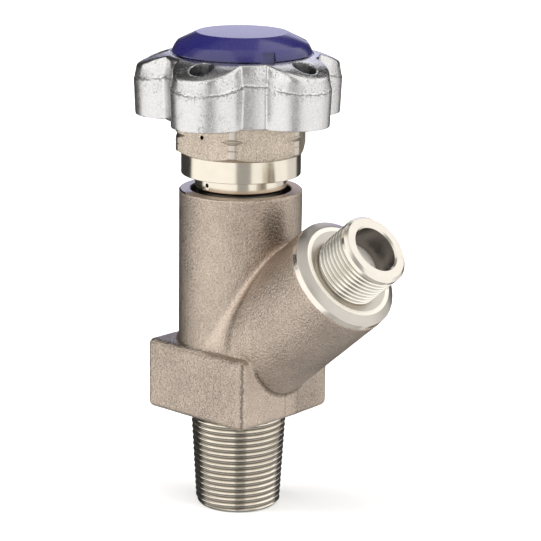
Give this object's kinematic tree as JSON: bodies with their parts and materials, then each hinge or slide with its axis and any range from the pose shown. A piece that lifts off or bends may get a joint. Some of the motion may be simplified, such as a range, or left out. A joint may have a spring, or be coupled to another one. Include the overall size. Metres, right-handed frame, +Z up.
{
  "type": "drum valve",
  "caption": "Angled-outlet diaphragm valve for a drum or gas cylinder: tapered stem thread below, lobed handwheel with a cap on top, threaded side outlet.",
  "frame": {"origin": "centre of the inlet stem's lower end face, on the spindle axis", "axes": "+Z up the spindle axis, the outlet branch leans up 40 degrees from level towards +X"},
  "size_m": [0.0883, 0.0627, 0.1455],
  "materials": {
    "forged_steel": "shot-blasted stainless forging",
    "blasted_steel": "blasted and turned stainless steel",
    "turned_steel": "turned bright stainless steel",
    "spring_steel": "bright spring steel",
    "die_cast": "polished die casting, speckled",
    "brass": "turned brass",
    "rubber": "moulded rubber",
    "seat_plastic": "turned fluoroplastic",
    "cap_plastic": "moulded violet-blue plastic"
  },
  "bodies": {
    "housing": {"valve_body": "forged_steel", "bonnet": "blasted_steel", "clamp_ring": "turned_steel", "diaphragm_1": "spring_steel", "diaphragm_2": "spring_steel", "diaphragm_3": "spring_steel", "return_spring": "spring_steel", "spindle_bush": "brass", "wiper_seal": "rubber"},
    "plunger_set": {"plunger": "turned_steel", "seat_retainer": "turned_steel", "seat_disc": "seat_plastic"},
    "thrust_set": {"thrust_button": "turned_steel"},
    "wheel_set": {"spindle": "turned_steel", "thrust_ball": "turned_steel", "spindle_o_ring": "rubber", "retaining_clip": "spring_steel", "handwheel": "die_cast", "wheel_washer": "turned_steel", "wheel_screw": "turned_steel", "wheel_cap": "cap_plastic"}
  },
  "joints": [
    {"name": "spindle_lift", "type": "slide", "parent": "housing", "child": "thrust_set", "axis": [0, 0, 1], "range_m": [0, 0.0015], "deforming": ["diaphragm_1", "diaphragm_2", "diaphragm_3"]},
    {"name": "wheel_turn", "type": "hinge", "parent": "thrust_set", "child": "wheel_set", "pos_m": [0, 0, 0.12], "axis": [0, 0, 1], "range_deg": [0, 540]},
    {"name": "plunger_lift", "type": "slide", "parent": "housing", "child": "plunger_set", "axis": [0, 0, 1], "range_m": [0, 0.0015], "deforming": ["return_spring"]}
  ],
  "couplings": [
    {"joint": "spindle_lift", "follows": "wheel_turn", "m_per_rad": 0.00015915},
    {"joint": "plunger_lift", "follows": "wheel_turn", "m_per_rad": 0.00015915}
  ]
}
